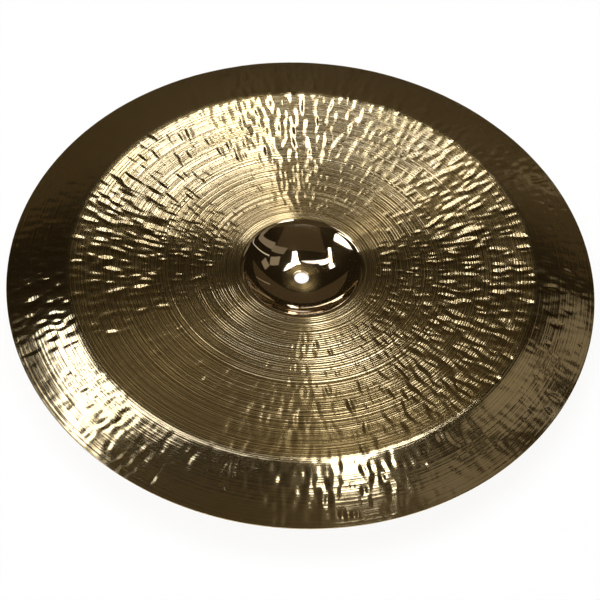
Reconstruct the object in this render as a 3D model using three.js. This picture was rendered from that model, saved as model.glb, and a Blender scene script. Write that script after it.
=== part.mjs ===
// China cymbal: one sheet of cast bronze, pressed at the bell, hammered to shape and turned
// on a lathe. Millimetres, +Z up. It lies on its crown with the hollow of the bell up, which
// is also how a china is mounted, and the origin is the centre of the hole on the crown's
// lower face.

import * as THREE from "three";

// Widths, measured on the middle of the sheet
const rimDiameter = 508;
const flangeWidth = 53.4;
const bellDiameter = 105.6;
const crownLandWidth = 5.5;
const holeDiameter = 13;

// Heights from one ring of the profile to the next
const bellDepth = 16.25;
const bowRise = 18.8;
const flangeDrop = 7.9;

// How far the bow bellies below the straight line between its ends, and the flange above it
const bowSag = 2.1;
const flangeCrown = 0.9;

// Bends that join the stretches
const shoulderBendRadius = 3.5;
const creaseBendRadius = 14;

// The sheet is thick at the crown and is turned thinner all the way out to the rim
const crownThickness = 1.5;
const bellEdgeThickness = 1.3;
const creaseThickness = 1.0;
const rimThickness = 0.8;

// The hole is broken at both edges, so that it doesn't cut its sleeve
const holeEdgeBreak = 0.2;

// Facets: steps along each stretch of the profile, and sides around the axis
const bellSteps = 8;
const shoulderSteps = 4;
const bowSteps = 6;
const creaseSteps = 5;
const flangeSteps = 3;
const rimSteps = 4;
const sides = 96;

// Rings of the profile, worked out from the sizes above
const holeRadius = holeDiameter / 2;
const landRadius = holeRadius + crownLandWidth;
const bellRadius = bellDiameter / 2;
const rimRadius = rimDiameter / 2;
const creaseRadius = rimRadius - flangeWidth;
const crownLevel = crownThickness / 2;
const bellLevel = crownLevel + bellDepth;
const creaseLevel = bellLevel + bowRise;
const rimLevel = creaseLevel - flangeDrop;

// The bell leaves the crown level and curves up to its edge, close to a round arc
function bellCurve() {
  const crownEdge = new THREE.Vector2(landRadius, crownLevel);
  const bellEdge = new THREE.Vector2(bellRadius, bellLevel);
  const run = bellRadius - landRadius;
  const tangentLength = crownEdge.distanceToSquared(bellEdge) / (2 * run);
  const corner = new THREE.Vector2(landRadius + tangentLength, crownLevel);
  return new THREE.QuadraticBezierCurve(crownEdge, corner, bellEdge);
}

// A stretch of sheet that bellies above the straight line from one ring to the next, or below
// it where the rise is negative
function belliedCurve(inner, outer, rise) {
  const across = outer.clone().sub(inner).normalize();
  const above = new THREE.Vector2(-across.y, across.x);
  const middle = inner.clone().add(outer).divideScalar(2);
  const control = middle.addScaledVector(above, 2 * rise);
  return new THREE.QuadraticBezierCurve(inner, control, outer);
}

// How much of the sheet on each side of a corner goes into its bend
function bendReach(before, after, radius) {
  const turn = before.getTangentAt(1).angleTo(after.getTangentAt(0));
  return radius * Math.tan(turn / 2);
}

function bendCurve(before, after, reach) {
  const start = before.getPointAt(1 - reach / before.getLength());
  const end = after.getPointAt(reach / after.getLength());
  return new THREE.QuadraticBezierCurve(start, after.getPoint(0), end);
}

// Places along a curve, each with the direction that the sheet runs in there
function placesAlong(curve, startCut, endCut, steps) {
  const length = curve.getLength();
  const first = startCut / length;
  const last = 1 - endCut / length;
  const places = [];
  for (let step = 0; step <= steps; step += 1) {
    const share = THREE.MathUtils.lerp(first, last, step / steps);
    places.push({ point: curve.getPointAt(share), along: curve.getTangentAt(share) });
  }
  return places;
}

// The middle of the sheet, from the edge of the hole to the rim
function middleLine() {
  const bell = bellCurve();
  const bow = belliedCurve(
    new THREE.Vector2(bellRadius, bellLevel),
    new THREE.Vector2(creaseRadius, creaseLevel),
    -bowSag,
  );
  const flange = belliedCurve(
    new THREE.Vector2(creaseRadius, creaseLevel),
    new THREE.Vector2(rimRadius - rimThickness / 2, rimLevel),
    flangeCrown,
  );
  const shoulderReach = bendReach(bell, bow, shoulderBendRadius);
  const creaseReach = bendReach(bow, flange, creaseBendRadius);
  const shoulder = bendCurve(bell, bow, shoulderReach);
  const crease = bendCurve(bow, flange, creaseReach);
  return [
    ...placesAlong(bell, 0, shoulderReach, bellSteps),
    ...placesAlong(shoulder, 0, 0, shoulderSteps).slice(1, -1),
    ...placesAlong(bow, shoulderReach, creaseReach, bowSteps),
    ...placesAlong(crease, 0, 0, creaseSteps).slice(1, -1),
    ...placesAlong(flange, creaseReach, 0, flangeSteps),
  ];
}

function thicknessAt(radius) {
  const rings = [
    { radius: landRadius, thickness: crownThickness },
    { radius: bellRadius, thickness: bellEdgeThickness },
    { radius: creaseRadius, thickness: creaseThickness },
    { radius: rimRadius, thickness: rimThickness },
  ];
  const next = Math.max(1, rings.findIndex((ring) => ring.radius >= radius));
  const inner = rings[next - 1];
  const outer = rings[next];
  return THREE.MathUtils.mapLinear(
    radius, inner.radius, outer.radius, inner.thickness, outer.thickness,
  );
}

// A point of the upper face (side 1) or the lower face (side -1) of the sheet
function facePoint({ point, along }, side) {
  const up = new THREE.Vector2(-along.y, along.x);
  return point.clone().addScaledVector(up, (side * thicknessAt(point.x)) / 2);
}

// The round edge of the rim, from its lower face to its upper face
function rimEdge({ point, along }) {
  const edge = [];
  for (let step = 1; step < rimSteps; step += 1) {
    const turn = (step / rimSteps - 1 / 2) * Math.PI;
    const outward = along.clone().rotateAround(new THREE.Vector2(), turn);
    edge.push(point.clone().addScaledVector(outward, rimThickness / 2));
  }
  return edge;
}

// The closed outline of the sheet: out along its lower face and back along its upper face
function sheetOutline() {
  const middle = middleLine();
  const lowerFace = middle.map((place) => facePoint(place, -1));
  const upperFace = middle.map((place) => facePoint(place, 1)).reverse();
  const start = new THREE.Vector2(holeRadius + holeEdgeBreak, 0);
  return [
    start,
    ...lowerFace,
    ...rimEdge(middle.at(-1)),
    ...upperFace,
    new THREE.Vector2(holeRadius + holeEdgeBreak, crownThickness),
    new THREE.Vector2(holeRadius, crownThickness - holeEdgeBreak),
    new THREE.Vector2(holeRadius, holeEdgeBreak),
    start.clone(),
  ];
}

function makeCymbal() {
  const geometry = new THREE.LatheGeometry(sheetOutline(), sides);
  geometry.rotateX(Math.PI / 2);
  const bronze = new THREE.MeshStandardMaterial({
    color: new THREE.Color(0.62, 0.5, 0.29),
    roughness: 0.28,
    metalness: 1,
  });
  const cymbal = new THREE.Mesh(geometry, bronze);
  cymbal.name = "cymbal";
  return cymbal;
}

const part = new THREE.Group();
part.add(makeCymbal());

export default part;
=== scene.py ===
import math

import bpy
import numpy as np
from mathutils import Matrix, Vector


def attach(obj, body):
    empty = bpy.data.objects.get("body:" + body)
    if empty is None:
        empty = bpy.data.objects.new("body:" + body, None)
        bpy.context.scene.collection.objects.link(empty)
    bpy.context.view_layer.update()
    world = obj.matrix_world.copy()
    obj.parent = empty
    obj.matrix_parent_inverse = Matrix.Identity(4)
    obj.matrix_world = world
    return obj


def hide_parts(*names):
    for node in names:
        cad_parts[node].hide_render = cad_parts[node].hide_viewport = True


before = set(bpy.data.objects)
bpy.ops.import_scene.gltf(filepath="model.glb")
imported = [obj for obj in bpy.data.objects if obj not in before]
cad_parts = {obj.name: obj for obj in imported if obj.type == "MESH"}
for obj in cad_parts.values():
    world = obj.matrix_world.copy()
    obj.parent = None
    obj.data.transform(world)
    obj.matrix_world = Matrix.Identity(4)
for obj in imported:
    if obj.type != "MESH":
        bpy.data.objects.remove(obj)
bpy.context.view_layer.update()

# China cymbal: one sheet of hammered and lathed bronze, lying on its crown. Metres, +Z up
MM = 0.001

# The sheet's profile, as the frame has it: widths, heights, bulges and thicknesses
RIM_RADIUS = 254 * MM
FLANGE_WIDTH = 53.4 * MM
BELL_RADIUS = 52.8 * MM
CROWN_LAND_WIDTH = 5.5 * MM
HOLE_RADIUS = 6.5 * MM
BELL_DEPTH = 16.25 * MM
BOW_RISE = 18.8 * MM
FLANGE_DROP = 7.9 * MM
BOW_SAG = 2.1 * MM
FLANGE_CROWN = 0.9 * MM
CROWN_THICKNESS = 1.5 * MM
BELL_EDGE_THICKNESS = 1.3 * MM
CREASE_THICKNESS = 1.0 * MM
RIM_THICKNESS = 0.8 * MM
HOLE_EDGE_BREAK = 0.2 * MM

# Bends at the bell's edge and at the crease, softer than in the frame, so that the light draws
# broad lines along them
SHOULDER_BEND = 9 * MM
CREASE_BEND = 32 * MM

# Rings of the profile, worked out from the sizes above
LAND_RADIUS = HOLE_RADIUS + CROWN_LAND_WIDTH
CREASE_RADIUS = RIM_RADIUS - FLANGE_WIDTH
CROWN_LEVEL = CROWN_THICKNESS / 2
BELL_LEVEL = CROWN_LEVEL + BELL_DEPTH
CREASE_LEVEL = BELL_LEVEL + BOW_RISE
RIM_LEVEL = CREASE_LEVEL - FLANGE_DROP
HOLE_EDGE_CORNER = HOLE_EDGE_BREAK / 3

# Segments around the axis, rings of the mesh along each stretch, and the points with which a
# curve's length is measured
SEGMENTS = 960
LAND_RINGS = 4
BELL_RINGS = 16
SHOULDER_RINGS = 10
BOW_RINGS = 80
CREASE_RINGS = 14
FLANGE_RINGS = 30
RIM_RINGS = 6
CURVE_SAMPLES = 400

# Where the hammer's passes start and end
BOW_START = BELL_RADIUS + 4 * MM
INNER_END = 140 * MM
OUTER_START = 132 * MM
OUTER_END = CREASE_RADIUS - 6 * MM
FINE_END = CREASE_RADIUS - 4 * MM
CREASE_START = CREASE_RADIUS - 3 * MM
FLANGE_START = CREASE_RADIUS + 9 * MM
FLUTES_START = CREASE_RADIUS + 14 * MM

# Hammer work, one line to a pass: where its rings of blows start and end, how far apart the blows
# are outward and around, how long a dent is outward and how wide around, from its middle to its
# end, and how deep a usual one is
HAMMER_SEED = 41
HAMMER_PASSES = {
    "broad": (BOW_START, RIM_RADIUS, 17 * MM, 15 * MM, 11 * MM, 7 * MM, 0.02 * MM),
    "inner": (BOW_START, INNER_END, 8.6 * MM, 7.2 * MM, 5.2 * MM, 2.7 * MM, 0.065 * MM),
    "outer": (OUTER_START, OUTER_END, 12 * MM, 8 * MM, 9 * MM, 3.6 * MM, 0.13 * MM),
    "fine": (BOW_START, FINE_END, 7 * MM, 6 * MM, 4 * MM, 2.4 * MM, 0.012 * MM),
    "crease": (CREASE_START, CREASE_RADIUS, 9 * MM, 14 * MM, 3.6 * MM, 3.6 * MM, 0.04 * MM),
    "fluted": (FLUTES_START, RIM_RADIUS, 17 * MM, 9 * MM, 15 * MM, 4.6 * MM, 0.045 * MM),
    "flange": (FLANGE_START, RIM_RADIUS, 9 * MM, 8 * MM, 6 * MM, 3.6 * MM, 0.1 * MM),
}

# How blows differ: how far one lands off its place, as a share of the space between two, how far
# it is turned, and how much dents differ in size and in depth
BLOW_SCATTER_SHARE = 0.45
BLOW_TURN = math.radians(9)
SIZE_SPREAD = 0.2
DEPTH_SPREAD = 0.5

# Segments that are looked at past both ends of a dent, so that none of it is cut off
SPARE_SEGMENTS = 2

# The bow is smoother on one side, where the blows were lighter: the middle of that side, how far
# it spreads both ways, and how heavy its lightest blows are
SMOOTH_SIDE_MIDDLE = math.radians(243)
SMOOTH_SIDE_SPREAD = math.radians(45)
SMOOTH_SIDE_BLOW_SHARE = 0.35

# Low waves that the hammering leaves across the sheet: how many, how long and how high a usual one
# is, and from which share of that to which they differ
WAVE_SEED = 7
WAVES = 60
WAVE_LENGTH = 55 * MM
WAVE_HEIGHT = 0.008 * MM
WAVE_SHARES = (0.5, 1.6)

# Width over which the hammering fades in, outward from the bend at the bell's edge
FADE_WIDTH = 14 * MM

# How much of its true length the underside gets in the map for baking
UNDERSIDE_SHARE = 0.5

# Colours of the bronze: the lathed bow, its dull patches, a painted shade for the bottom of the
# lathe's grooves and rings, the buffed bell, and the light that the lathed bronze scatters
LATHED_BRONZE = (0.86, 0.75, 0.53, 1)
DULL_BRONZE = (0.80, 0.68, 0.44, 1)
# A dark brown painted in as shade at the bottom of the lathe's grooves and deep rings
PAINTED_GROOVE_SHADE = (0.46, 0.33, 0.15, 1)
BUFFED_BRONZE = (0.95, 0.82, 0.64, 1)
SCATTERING_BRONZE = (0.86, 0.60, 0.23, 1)

# Dull patches: how wide they are, how finely broken, and between which values of the noise they
# come up
PATCH_SIZE = 60 * MM
PATCH_DETAIL = 3.0
PATCH_EDGES = (0.4, 0.65)

# Where the bronze changes, from one radius to another: from the buffed bell to the lathed bow,
# from the bow's lathe work to calmer work at the crease and past it, and from the bow's shine to
# the flange's
BOW_EDGE = (BELL_RADIUS, BELL_RADIUS + 3 * MM)
CALM_EDGE = (CREASE_RADIUS - 14 * MM, CREASE_RADIUS - 3 * MM)
FLANGE_EDGE = (CREASE_RADIUS - 3 * MM, CREASE_RADIUS + 3 * MM)

# How much of their tilt the rings and lines lose in the calmer work
CALM_SHARE = 0.6

# Deep lathe rings near the bell: how far apart they are, over what width they wander and by how
# many turns of the wave, how far they tilt the surface, and how much painted shade darkens their
# bottoms. They get shallower from one radius to another, down to a share of their depth
RING_PITCH = 2.3 * MM
RING_WANDER = 9 * MM
RING_WANDER_TURNS = 1.6
RING_TILT = 0.28
RING_PAINTED_SHADE_SHARE = 0.4
DEEP_RINGS_END = (80 * MM, 150 * MM)
OUTER_RING_SHARE = 0.25

# Fine lathe lines all over: how wide they are, how finely broken, how far they tilt the surface,
# between which values of the noise a groove comes up, and how much painted shade darkens it
LINE_SIZE = 1.2 * MM
LINE_DETAIL = 1.0
LINE_TILT = 0.4
GROOVE_EDGES = (0.42, 0.6)
GROOVE_PAINTED_SHADE_SHARE = 0.2

# The value about which noise varies
NOISE_MIDDLE = 0.5

# How rough the bell and the bow are, how much the lines add, and how rough the bronze is where it
# scatters light
BELL_ROUGHNESS = 0.04
BOW_ROUGHNESS = 0.08
LINE_ROUGHNESS = 0.04
SCATTER_ROUGHNESS = 0.29

# How much of the light is scattered on the bell and on the bow, how much the bow's grooves add,
# and how much of that the flange lacks. A halo lies round the hole and fades from one radius to
# another
BELL_SCATTER_SHARE = 0.03
BOW_SCATTER_SHARE = 0.18
GROOVE_SCATTER_SHARE = 0.33
FLANGE_CLEAR_SHARE = 0.8
HALO_SHARE = 0.55
HALO_EDGE = (7 * MM, 20 * MM)

# How far the lathe's lines stretch the shine, and the quarter turn that puts it across them
LATHE_STRETCH = 0.93
QUARTER_TURN = 0.25

# Camera: the photograph's view, found from the rim, crease, bell and hole. The sensor's width is in
# millimetres, and the hole's upper end lies a little right of the middle, above it and this far off
IMAGE_PIXELS = 600
FOCAL_PIXELS = 1100
SENSOR_WIDTH = 36
VIEW_ELEVATION = math.radians(53.5)
VIEW_ROLL = math.radians(3.75)
HOLE_RIGHT = 1.4 * MM
HOLE_UP = 20.0 * MM
HOLE_AWAY = 981.8 * MM

# Lamps hang level at one height, in metres. A place and a size are along X and Y, in metres, for a
# lamp 1 m up, the turn is in degrees, and the brightness is what a mirror shows of it
LAMP_HEIGHT = 4.0
WHITE_LIGHT = (1.0, 0.99, 0.96)
PALE_LIGHT = (1.0, 0.92, 0.80)
WARM_LIGHT = (1.0, 0.85, 0.62)
BROWN_LIGHT = (1.0, 0.70, 0.34)
LAMPS = {
    "window_post": ((-0.515, 0.21), (0.08, 0.54), -9, 3.5, WHITE_LIGHT),
    "window_head": ((-0.5, 0.49), (0.17, 0.12), 12, 3.5, WHITE_LIGHT),
    "band": ((-0.34, 0.37), (0.37, 0.115), 26, 2.7, WHITE_LIGHT),
    "band_end": ((-0.085, 0.49), (0.19, 0.07), 35, 1.8, WHITE_LIGHT),
    "strip": ((0.085, 0.405), (0.07, 0.51), 10, 4.4, WHITE_LIGHT),
    "strip_foot": ((0.075, 0.63), (0.095, 0.14), 0, 6, WHITE_LIGHT),
    "far_window": ((-1.42, -0.08), (1.3, 0.23), -29, 2.8, WHITE_LIGHT),
    "side_wall": ((1.18, -0.06), (1.06, 0.23), -8, 0.18, WARM_LIGHT),
    "shelf": ((1.4, 0.33), (1.4, 0.04), 0, 0.6, PALE_LIGHT),
    "panel": ((0.8, 0.65), (0.3, 0.3), -37, 0.2, WARM_LIGHT),
    "beam": ((1.205, 1.815), (1.35, 0.055), 35, 0.27, WARM_LIGHT),
    "glass": ((0.47, 0.45), (0.28, 0.25), 10, 0.22, WARM_LIGHT),
    "wall": ((0.48, 0.11), (0.38, 0.2), -10, 0.15, WARM_LIGHT),
    "far_wall": ((0.2, 2.1), (3.2, 2.1), 0, 0.034, BROWN_LIGHT),
    "ceiling": ((0.09, -0.345), (1.02, 0.91), 0, 0.03, BROWN_LIGHT),
    "near_wall": ((0.1, -1.065), (3.0, 0.5), 0, 3, WHITE_LIGHT),
}

# A broad lamp for the floor and its shadow alone, which the bronze doesn't mirror
FLOOR_LIGHT = (1.0, 1.0, 1.0)
FLOOR_LAMP = ((0, 0), (1.5, 1.5), 0, 4.5, FLOOR_LIGHT)

# A dim glow from everywhere else
WORLD_LIGHT = (*BROWN_LIGHT, 1)
WORLD_STRENGTH = 0.011

# A round white floor that curves up into a low wall, in metres, with rings across the floor at
# shares of its radius
SWEEP_SIDES = 96
SWEEP_RADIUS = 5.0
SWEEP_BEND = 0.5
SWEEP_BEND_RINGS = 12
SWEEP_FLOOR_SHARES = (0.8, 0.5, 0.2)

# The floor's paint, and how much of what is seen of it, straight or in a mirror, is a white glow
FLOOR_WHITE = (0.85, 0.85, 0.85, 1)
GLOW_WHITE = (1.0, 1.0, 1.0, 1)
GLOW_STRENGTH = 1.0
GLOW_SHARE = 0.88


class Curve:
    """A stretch of the sheet's middle line: a quadratic curve, walked by its length."""

    def __init__(self, start, corner, end):
        self.start, self.corner, self.end = np.array(start), np.array(corner), np.array(end)
        self.shares = np.linspace(0, 1, CURVE_SAMPLES)
        steps = np.hypot(*np.diff(self.point(self.shares), axis=0).T)
        self.walked = np.concatenate([[0], np.cumsum(steps)])
        self.length = self.walked[-1]

    def point(self, share):
        share = np.asarray(share)[..., None]
        rest = 1 - share
        return rest**2 * self.start + 2 * rest * share * self.corner + share**2 * self.end

    def run(self, share):
        """The direction that the sheet runs in."""
        share = np.asarray(share)[..., None]
        run = (1 - share) * (self.corner - self.start) + share * (self.end - self.corner)
        return run / np.linalg.norm(run, axis=-1, keepdims=True)

    def walk(self, start_cut, end_cut, rings):
        """Points and directions at even steps, with a length cut off at each end."""
        places = np.linspace(start_cut, self.length - end_cut, rings)
        shares = np.interp(places, self.walked, self.shares)
        return np.hstack([self.point(shares), self.run(shares)])


def bell_curve():
    """The bell leaves the crown level and curves up to its edge, close to a round arc."""
    start = np.array([LAND_RADIUS, CROWN_LEVEL])
    end = np.array([BELL_RADIUS, BELL_LEVEL])
    reach = np.sum((end - start) ** 2) / (2 * (BELL_RADIUS - LAND_RADIUS))
    return Curve(start, start + [reach, 0], end)


def bellied_curve(start, end, rise):
    """A stretch that bellies above the straight line between its ends, or below it."""
    start, end = np.array(start), np.array(end)
    across = (end - start) / np.linalg.norm(end - start)
    above = np.array([-across[1], across[0]])
    return Curve(start, (start + end) / 2 + 2 * rise * above, end)


def bend(before, after, radius):
    """How far the bend between two stretches reaches along each, and its own curve."""
    turn = math.acos(float(np.dot(before.run(1), after.run(0))))
    reach = radius * math.tan(turn / 2)
    last = np.interp(before.length - reach, before.walked, before.shares)
    first = np.interp(reach, after.walked, after.shares)
    return reach, Curve(before.point(last), after.start, after.point(first))


def middle_line():
    """The middle of the sheet from the hole to the rim: radius, height and run of each ring."""
    land = Curve(
        (HOLE_RADIUS + HOLE_EDGE_BREAK, CROWN_LEVEL),
        (HOLE_RADIUS + CROWN_LAND_WIDTH / 2, CROWN_LEVEL),
        (LAND_RADIUS, CROWN_LEVEL),
    )
    bell = bell_curve()
    bow = bellied_curve((BELL_RADIUS, BELL_LEVEL), (CREASE_RADIUS, CREASE_LEVEL), -BOW_SAG)
    rim = (RIM_RADIUS - RIM_THICKNESS / 2, RIM_LEVEL)
    flange = bellied_curve((CREASE_RADIUS, CREASE_LEVEL), rim, FLANGE_CROWN)
    shoulder_reach, shoulder = bend(bell, bow, SHOULDER_BEND)
    crease_reach, crease = bend(bow, flange, CREASE_BEND)
    return np.vstack([
        land.walk(0, 0, LAND_RINGS)[:-1],
        bell.walk(0, shoulder_reach, BELL_RINGS),
        shoulder.walk(0, 0, SHOULDER_RINGS)[1:-1],
        bow.walk(shoulder_reach, crease_reach, BOW_RINGS),
        crease.walk(0, 0, CREASE_RINGS)[1:-1],
        flange.walk(crease_reach, RIM_THICKNESS, FLANGE_RINGS),
        flange.walk(flange.length, 0, 1),
    ])


def thickness_at(radius):
    rings = [LAND_RADIUS, BELL_RADIUS, CREASE_RADIUS, RIM_RADIUS]
    walls = [CROWN_THICKNESS, BELL_EDGE_THICKNESS, CREASE_THICKNESS, RIM_THICKNESS]
    return np.interp(radius, rings, walls)


def blow_share(radius, angle):
    """How heavy the blows are at a place, as a share of the usual ones."""
    if radius > CREASE_RADIUS:
        return 1
    away = (angle - SMOOTH_SIDE_MIDDLE) / SMOOTH_SIDE_SPREAD
    return 1 - (1 - SMOOTH_SIDE_BLOW_SHARE) * math.exp(-(away**2))


class Dents:
    """How far the hammer has pushed the sheet down, on the mesh's rings and segments."""

    def __init__(self, radius, angles):
        self.radius = radius
        self.angles = angles
        self.depth = np.zeros((len(radius), len(angles)))

    def blow(self, radius, angle, length, width, depth, turn):
        """One oval dent, deepest in its middle, with its length turned a little from outward."""
        rows = np.nonzero(np.abs(self.radius - radius) < length)[0]
        step = self.angles[1]
        reach = int((width + length * abs(math.sin(turn))) / radius / step + SPARE_SEGMENTS)
        columns = np.arange(-reach, reach + 1) + round(angle / step)
        out = (self.radius[rows] - radius)[:, None]
        around = (columns * step - angle)[None] * self.radius[rows][:, None]
        along = out * math.cos(turn) + around * math.sin(turn)
        across = around * math.cos(turn) - out * math.sin(turn)
        edge = np.clip(1 - (along / length) ** 2 - (across / width) ** 2, 0, 1)
        self.depth[rows[:, None], columns[None] % len(self.angles)] += depth * edge**2

    def work(self, rng, first, last, apart_out, apart_around, length, width, depth):
        """One pass of the hammer: scattered rings of blows, most of them light and a few heavy."""
        for ring in np.arange(first, last, apart_out):
            blows = int(2 * math.pi * ring / apart_around)
            for number in range(blows):
                aside, outward = rng.uniform(-BLOW_SCATTER_SHARE, BLOW_SCATTER_SHARE, 2)
                angle = 2 * math.pi * (number + aside) / blows
                out = ring + outward * min(apart_out, last - first)
                size = rng.lognormal(0, SIZE_SPREAD)
                deep = depth * rng.lognormal(0, DEPTH_SPREAD) * blow_share(out, angle)
                turn = rng.normal(0, BLOW_TURN)
                self.blow(out, angle, length * size, width * size, deep, turn)


def waves(radius, angles):
    """Long low waves in every direction across the sheet."""
    rng = np.random.default_rng(WAVE_SEED)
    x, y = radius[:, None] * np.cos(angles), radius[:, None] * np.sin(angles)
    height = np.zeros_like(x)
    for _ in range(WAVES):
        share = rng.uniform(*WAVE_SHARES)
        turn, start = rng.uniform(0, 2 * math.pi, 2)
        out = x * math.cos(turn) + y * math.sin(turn)
        wave = np.sin(2 * math.pi * out / (WAVE_LENGTH * share) + start)
        height += WAVE_HEIGHT * share * wave
    return height


def hammered(radius, angles):
    """How deep the hammer has left every point; the bell is smooth."""
    rng = np.random.default_rng(HAMMER_SEED)
    dents = Dents(radius, angles)
    for hammer_pass in HAMMER_PASSES.values():
        dents.work(rng, *hammer_pass)
    depth = dents.depth + waves(radius, angles)
    fade = np.clip((radius - BELL_RADIUS - SHOULDER_BEND) / FADE_WIDTH, 0, 1)
    return (depth - depth.min()) * fade[:, None]


def angles_around(sides):
    return np.arange(sides) * 2 * math.pi / sides


def sheet_rings():
    """Radius and height around the sheet's closed outline, one row to a ring."""
    middle = middle_line()
    radius, height, run_out, run_up = (column[:, None] for column in middle.T)
    dent = hammered(middle[:, 0], angles_around(SEGMENTS))

    def face(side):
        lift = side * thickness_at(radius) / 2 - dent
        return np.stack([radius - run_up * lift, height + run_out * lift], axis=-1)

    def rim_ring(turn):
        out = run_out[-1] * math.cos(turn) - run_up[-1] * math.sin(turn)
        up = run_out[-1] * math.sin(turn) + run_up[-1] * math.cos(turn)
        half = RIM_THICKNESS / 2
        ring_radius = radius[-1] + half * out + run_up[-1] * dent[-1]
        ring_height = height[-1] + half * up - run_out[-1] * dent[-1]
        return np.stack([ring_radius, ring_height], axis=-1)

    def level_ring(ring_radius, ring_height):
        return np.tile([ring_radius, ring_height], (SEGMENTS, 1))

    rim_turns = (np.arange(1, RIM_RINGS) / RIM_RINGS - 1 / 2) * math.pi
    return np.array([
        *face(-1),
        *[rim_ring(turn) for turn in rim_turns],
        *face(1)[::-1],
        level_ring(HOLE_RADIUS + HOLE_EDGE_CORNER, CROWN_THICKNESS - HOLE_EDGE_CORNER),
        level_ring(HOLE_RADIUS, CROWN_THICKNESS - HOLE_EDGE_BREAK),
        level_ring(HOLE_RADIUS, HOLE_EDGE_BREAK),
        level_ring(HOLE_RADIUS + HOLE_EDGE_CORNER, HOLE_EDGE_CORNER),
    ])


def turned_points(rings):
    """The points in space of rings that are given by radius and height."""
    angles = angles_around(rings.shape[1])
    radius, height = rings[..., 0], rings[..., 1]
    return np.stack([radius * np.cos(angles), radius * np.sin(angles), height], axis=-1)


def ring_faces(ring_count, sides):
    """Faces between each ring of points and the next, and between the last and the first."""
    here = np.arange(ring_count * sides).reshape(ring_count, sides)
    on = np.roll(here, -1, axis=1)
    return np.stack([here, on, np.roll(on, -1, axis=0), np.roll(here, -1, axis=0)], axis=-1)


def turned_object(name, rings, faces):
    mesh = bpy.data.meshes.new(name)
    mesh.from_pydata(turned_points(rings).reshape(-1, 3).tolist(), [], faces)
    mesh.shade_smooth()
    piece = bpy.data.objects.new(name, mesh)
    bpy.context.collection.objects.link(piece)
    return piece


def add_bake_map(mesh, rings):
    """A flat map of the sheet: around the axis one way, along its outline the other."""
    outline = rings[:, 0]
    steps = np.linalg.norm(np.roll(outline, -1, axis=0) - outline, axis=1)
    steps[:np.argmax(outline[:, 0])] *= UNDERSIDE_SHARE
    along = np.concatenate([[0], np.cumsum(steps)]) / steps.sum()
    around = np.arange(SEGMENTS + 1) / SEGMENTS
    places = np.stack(np.meshgrid(around, along), axis=-1)
    corners = [places[:-1, :-1], places[:-1, 1:], places[1:, 1:], places[1:, :-1]]
    layer = mesh.uv_layers.new(name="OFBake")
    layer.data.foreach_set("uv", np.stack(corners, axis=2).ravel())


def make_sheet():
    """The cymbal's one sheet of bronze, closed round its rim and round its hole."""
    rings = sheet_rings()
    faces = ring_faces(*rings.shape[:2]).reshape(-1, 4).tolist()
    sheet = turned_object("cymbal_sheet", rings, faces)
    add_bake_map(sheet.data, rings)
    return sheet


class Term:
    """A number inside a material. Sums and products on it add Math nodes."""

    def __init__(self, paint, socket):
        self.paint = paint
        self.socket = socket

    def math(self, operation, *inputs):
        return self.paint.node("ShaderNodeMath", {"operation": operation}, dict(enumerate(inputs)))

    def __add__(self, other):
        return self.math("ADD", self, other)

    def __sub__(self, other):
        return self.math("SUBTRACT", self, other)

    def __rsub__(self, other):
        return self.math("SUBTRACT", other, self)

    def __mul__(self, other):
        return self.math("MULTIPLY", self, other)

    def __truediv__(self, other):
        return self.math("DIVIDE", self, other)

    def __pow__(self, other):
        return self.math("POWER", self, other)

    __radd__ = __add__
    __rmul__ = __mul__

    def sine(self):
        return self.math("SINE", self)


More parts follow.
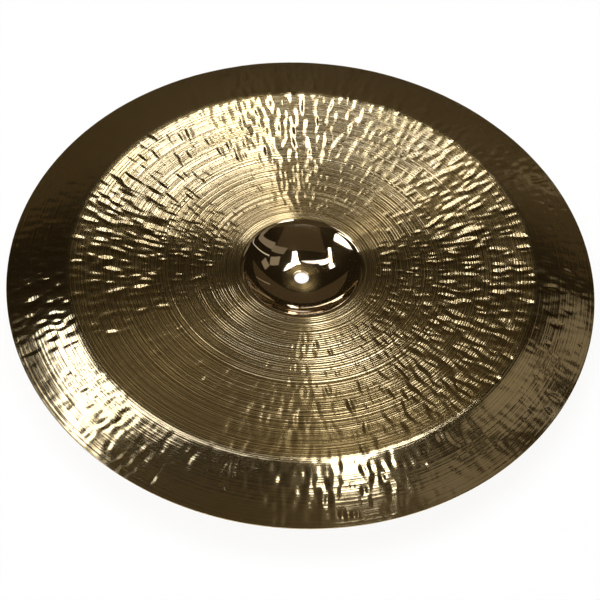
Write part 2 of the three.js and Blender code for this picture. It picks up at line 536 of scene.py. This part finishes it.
class Paint:
    """A material being put together from nodes."""

    def __init__(self, name):
        self.material = bpy.data.materials.new(name)
        self.material.use_nodes = True
        self.tree = self.material.node_tree
        self.tree.nodes.clear()

    def node(self, kind, settings, inputs, output=0):
        made = self.tree.nodes.new(kind)
        for name, value in settings.items():
            setattr(made, name, value)
        for name, value in inputs.items():
            if isinstance(value, Term):
                self.tree.links.new(value.socket, made.inputs[name])
            else:
                made.inputs[name].default_value = value
        return Term(self, made.outputs[output])

    def finish(self, shader):
        output = self.tree.nodes.new("ShaderNodeOutputMaterial")
        self.tree.links.new(shader.socket, output.inputs["Surface"])
        return self.material

    def place(self):
        """The three coordinates of the point, in the object's own metres."""
        point = self.node("ShaderNodeTexCoord", {}, {}, "Object")
        return [self.node("ShaderNodeSeparateXYZ", {}, {0: point}, axis) for axis in "XYZ"]

    def smooth(self, value, start, end):
        """0 before start, 1 after end, and a smooth step between."""
        settings = {"interpolation_type": "SMOOTHSTEP"}
        inputs = {"Value": value, "From Min": start, "From Max": end}
        return self.node("ShaderNodeMapRange", settings, inputs)

    def vector(self, x, y, z):
        return self.node("ShaderNodeCombineXYZ", {}, {0: x, 1: y, 2: z})

    def noise(self, point, size, detail):
        """Soft patches, each about as wide as size."""
        inputs = {"Vector": point, "Scale": 1 / size, "Detail": detail}
        return self.node("ShaderNodeTexNoise", {"noise_dimensions": "3D"}, inputs)

    def noise_along(self, value, size, detail):
        """The same along one measure, which makes rings of it when that is the radius."""
        inputs = {"W": value, "Scale": 1 / size, "Detail": detail}
        return self.node("ShaderNodeTexNoise", {"noise_dimensions": "1D"}, inputs)

    def blend(self, share, first, second):
        """A colour between two others; the colour sockets of a Mix node are 6, 7 and 2."""
        return self.node("ShaderNodeMix", {"data_type": "RGBA"}, {0: share, 6: first, 7: second}, 2)

    def mixed(self, share, first, second):
        """A surface between two others."""
        return self.node("ShaderNodeMixShader", {}, {0: share, 1: first, 2: second})

    def tilted(self, tilt, out_x, out_y):
        """The surface's direction, tilted outward from the axis."""
        transform = {"vector_type": "VECTOR", "convert_from": "OBJECT", "convert_to": "WORLD"}
        outward = self.node("ShaderNodeVectorTransform", transform, {0: self.vector(out_x, out_y, 0)})
        shift = self.node("ShaderNodeVectorMath", {"operation": "SCALE"}, {0: outward, "Scale": tilt})
        plain = self.node("ShaderNodeNewGeometry", {}, {}, "Normal")
        shifted = self.node("ShaderNodeVectorMath", {"operation": "ADD"}, {0: plain, 1: shift})
        return self.node("ShaderNodeVectorMath", {"operation": "NORMALIZE"}, {0: shifted})

    def metal(self, colour, roughness, facing):
        """Metal whose shine the lathe has stretched across its lines."""
        return self.node("ShaderNodeBsdfPrincipled", {}, {
            "Base Color": colour,
            "Metallic": 1.0,
            "Roughness": roughness,
            "Anisotropic": LATHE_STRETCH,
            "Anisotropic Rotation": QUARTER_TURN,
            "Normal": facing,
        })


def lathe_rings(paint, radius):
    """The deep rings as a wave between -1 and 1, and how deep they are at a radius."""
    wander = paint.noise_along(radius, RING_WANDER, LINE_DETAIL) * RING_WANDER_TURNS
    wave = ((radius / RING_PITCH + wander) * (2 * math.pi)).sine()
    shallow = paint.smooth(radius, *DEEP_RINGS_END) * (1 - OUTER_RING_SHARE)
    return wave, 1 - shallow


def lathe_tilt(paint, radius, bow, ring, ring_depth, line):
    """How far the lathe's rings and lines tilt the surface outward."""
    ring_tilt = ring * ring * ring * RING_TILT * ring_depth
    line_tilt = (line - NOISE_MIDDLE) * LINE_TILT
    calm = paint.smooth(radius, *CALM_EDGE) * CALM_SHARE
    return (ring_tilt + line_tilt) * (1 - calm) * bow


def scattered_share(paint, radius, bow, groove):
    """How much of the light a place scatters; it mirrors the rest."""
    halo = (1 - paint.smooth(radius, *HALO_EDGE)) * HALO_SHARE
    clear = paint.smooth(radius, *FLANGE_EDGE) * FLANGE_CLEAR_SHARE
    more_on_bow = BOW_SCATTER_SHARE - BELL_SCATTER_SHARE + groove * GROOVE_SCATTER_SHARE
    return halo + BELL_SCATTER_SHARE + bow * more_on_bow * (1 - clear)


def lathed_bronze():
    """Bronze that mirrors, mixed with bronze that scatters: buffed on the bell, lathed elsewhere,
    with painted shade in the lathe's grooves and rings.
    """
    paint = Paint("lathed_bronze")
    x, y, z = paint.place()
    radius = (x * x + y * y) ** 0.5
    bow = paint.smooth(radius, *BOW_EDGE)
    ring, ring_depth = lathe_rings(paint, radius)
    line = paint.noise_along(radius, LINE_SIZE, LINE_DETAIL)
    groove = paint.smooth(line, *GROOVE_EDGES)
    tilt = lathe_tilt(paint, radius, bow, ring, ring_depth, line)
    facing = paint.tilted(tilt, x / radius, y / radius)

    patch = paint.noise(paint.vector(x, y, z), PATCH_SIZE, PATCH_DETAIL)
    plain = paint.blend(paint.smooth(patch, *PATCH_EDGES), LATHED_BRONZE, DULL_BRONZE)
    # Painted shade: the colour darkens toward the bottom of each deep lathe ring
    painted_ring_shade = (1 - ring) * ring_depth * RING_PAINTED_SHADE_SHARE
    # Painted shade in the fine grooves and the deep rings, darkening the lathed colour
    lathed_with_painted_shade = paint.blend(groove * GROOVE_PAINTED_SHADE_SHARE + painted_ring_shade, plain, PAINTED_GROOVE_SHADE)
    colour = paint.blend(bow, BUFFED_BRONZE, lathed_with_painted_shade)
    roughness = BELL_ROUGHNESS + bow * (BOW_ROUGHNESS - BELL_ROUGHNESS + line * LINE_ROUGHNESS)
    mirroring = paint.metal(colour, roughness, facing)

    # The scattering bronze also gets the painted shade of the deep rings
    scatter_colour_with_painted_shade = paint.blend(painted_ring_shade, SCATTERING_BRONZE, PAINTED_GROOVE_SHADE)
    scattering = paint.metal(scatter_colour_with_painted_shade, SCATTER_ROUGHNESS, facing)
    share = scattered_share(paint, radius, bow, groove)
    return paint.finish(paint.mixed(share, mirroring, scattering))


def make_camera():
    lens = bpy.data.cameras.new("camera")
    lens.sensor_width = SENSOR_WIDTH
    lens.lens = FOCAL_PIXELS / IMAGE_PIXELS * SENSOR_WIDTH
    camera = bpy.data.objects.new("camera", lens)
    bpy.context.collection.objects.link(camera)
    tilt = Matrix.Rotation(math.pi / 2 - VIEW_ELEVATION, 4, "X")
    turn = tilt @ Matrix.Rotation(VIEW_ROLL, 4, "Z")
    hole = Vector((0, 0, CROWN_THICKNESS))
    seen_hole = Vector((HOLE_RIGHT, HOLE_UP, -HOLE_AWAY))
    camera.matrix_world = Matrix.Translation(hole - turn.to_3x3() @ seen_hole) @ turn
    bpy.context.scene.camera = camera


def make_lamp(name, place, size, turn, brightness, colour):
    light = bpy.data.lights.new(name, "AREA")
    light.shape = "RECTANGLE"
    light.size, light.size_y = size[0] * LAMP_HEIGHT, size[1] * LAMP_HEIGHT
    light.energy = brightness * math.pi * light.size * light.size_y
    light.color = colour
    lamp = bpy.data.objects.new(name, light)
    lamp.location = (place[0] * LAMP_HEIGHT, place[1] * LAMP_HEIGHT, LAMP_HEIGHT)
    lamp.rotation_euler = (0, 0, math.radians(turn))
    bpy.context.collection.objects.link(lamp)
    return lamp


def make_world():
    world = bpy.data.worlds.new("studio")
    world.use_nodes = True
    background = world.node_tree.nodes["Background"]
    background.inputs["Color"].default_value = WORLD_LIGHT
    background.inputs["Strength"].default_value = WORLD_STRENGTH
    bpy.context.scene.world = world


def sweep_paint():
    """White paint that also glows white where it is looked at, straight or in a mirror."""
    paint = Paint("studio_white")
    diffuse = paint.node("ShaderNodeBsdfDiffuse", {}, {"Color": FLOOR_WHITE})
    glow = paint.node("ShaderNodeEmission", {}, {"Color": GLOW_WHITE, "Strength": GLOW_STRENGTH})
    rays = ("Is Camera Ray", "Is Glossy Ray", "Is Transmission Ray")
    seen = sum(paint.node("ShaderNodeLightPath", {}, {}, ray) for ray in rays)
    return paint.finish(paint.mixed(seen * GLOW_SHARE, diffuse, glow))


def make_sweep():
    turns = np.linspace(math.pi / 2, 0, SWEEP_BEND_RINGS)
    wall = [
        (SWEEP_RADIUS + SWEEP_BEND * math.sin(turn), SWEEP_BEND * (1 - math.cos(turn)))
        for turn in turns
    ]
    floor = [(SWEEP_RADIUS * share, 0) for share in SWEEP_FLOOR_SHARES]
    rings = np.repeat(np.array(wall + floor)[:, None], SWEEP_SIDES, axis=1)
    faces = ring_faces(len(rings), SWEEP_SIDES)
    middle = faces[-1, :, 0].tolist()
    sweep = turned_object("studio_sweep", rings, [*faces[:-1].reshape(-1, 4).tolist(), middle])
    sweep.data.materials.append(sweep_paint())


make_camera()
make_world()
make_sweep()
for lamp_name, lamp_values in LAMPS.items():
    make_lamp(lamp_name, *lamp_values)
make_lamp("floor_lamp", *FLOOR_LAMP).visible_glossy = False
bpy.context.scene.view_settings.view_transform = "Standard"

sheet = make_sheet()
sheet.data.materials.append(lathed_bronze())
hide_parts("cymbal")
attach(sheet, "root")
